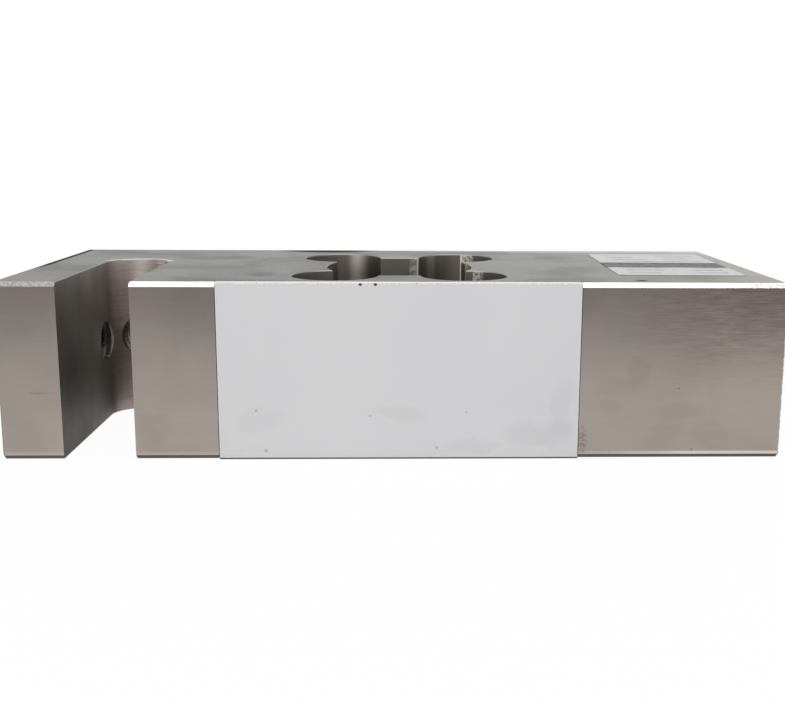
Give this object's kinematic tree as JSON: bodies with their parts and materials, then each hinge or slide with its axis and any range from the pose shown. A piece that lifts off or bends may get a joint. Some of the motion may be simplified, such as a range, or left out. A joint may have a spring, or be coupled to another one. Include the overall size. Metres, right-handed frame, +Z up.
{
  "type": "single point load cell",
  "caption": "Machined block load cell with a lobed bending window, an open slot in one end, threaded mounting holes and strain gauges sealed under white compound.",
  "frame": {"origin": "middle of the underside, the side face on which the block lies", "axes": "+X along the block from the slotted end to the labelled end, -Y out of the front face with the slot's mouth, +Z up along the window's axis; the measured load acts along Y"},
  "size_m": [0.175, 0.076, 0.0402],
  "materials": {
    "machined_aluminium": "milled, plated with a faintly warm matt nickel tone, bright broken edges",
    "white_compound": "matt white silicone compound, trimmed flush, slightly soiled",
    "label_film": "printed adhesive label, satin",
    "plated_brass": "nickel-plated, turned",
    "black_rubber": "matt",
    "polyimide_film": "amber film",
    "constantan_foil": "etched foil",
    "glass_epoxy": "laminate",
    "tinned_copper": "tinned",
    "resistor_ceramic": "glazed chip"
  },
  "bodies": {
    "root": {"back_compound": "white_compound", "bore_filler": "white_compound", "chip_resistor_1": "resistor_ceramic", "chip_resistor_2": "resistor_ceramic", "chip_resistor_3": "resistor_ceramic", "chip_resistor_4": "resistor_ceramic", "chip_resistor_5": "resistor_ceramic", "flex_circuit": "polyimide_film", "front_compound": "white_compound", "front_jumpers_left": "polyimide_film", "front_jumpers_right": "polyimide_film", "gauge_film_back_left": "polyimide_film", "gauge_film_back_right": "polyimide_film", "gauge_film_front_left": "polyimide_film", "gauge_film_front_right": "polyimide_film", "gauge_grid_back_left": "constantan_foil", "gauge_grid_back_right": "constantan_foil", "gauge_grid_front_left": "constantan_foil", "gauge_grid_front_right": "constantan_foil", "gauge_leads_back_left": "tinned_copper", "gauge_leads_back_right": "tinned_copper", "gauge_leads_front_left": "tinned_copper", "gauge_leads_front_right": "tinned_copper", "inlet_grommet": "black_rubber", "inlet_sleeve": "plated_brass", "load_cell_body": "machined_aluminium", "rating_label": "label_film", "terminal_pads_back_left": "tinned_copper", "terminal_pads_back_right": "tinned_copper", "terminal_pads_front_left": "tinned_copper", "terminal_pads_front_right": "tinned_copper", "terminal_strip_back_left": "glass_epoxy", "terminal_strip_back_right": "glass_epoxy", "terminal_strip_front_left": "glass_epoxy", "terminal_strip_front_right": "glass_epoxy", "trimming_board": "glass_epoxy"}
  },
  "joints": []
}
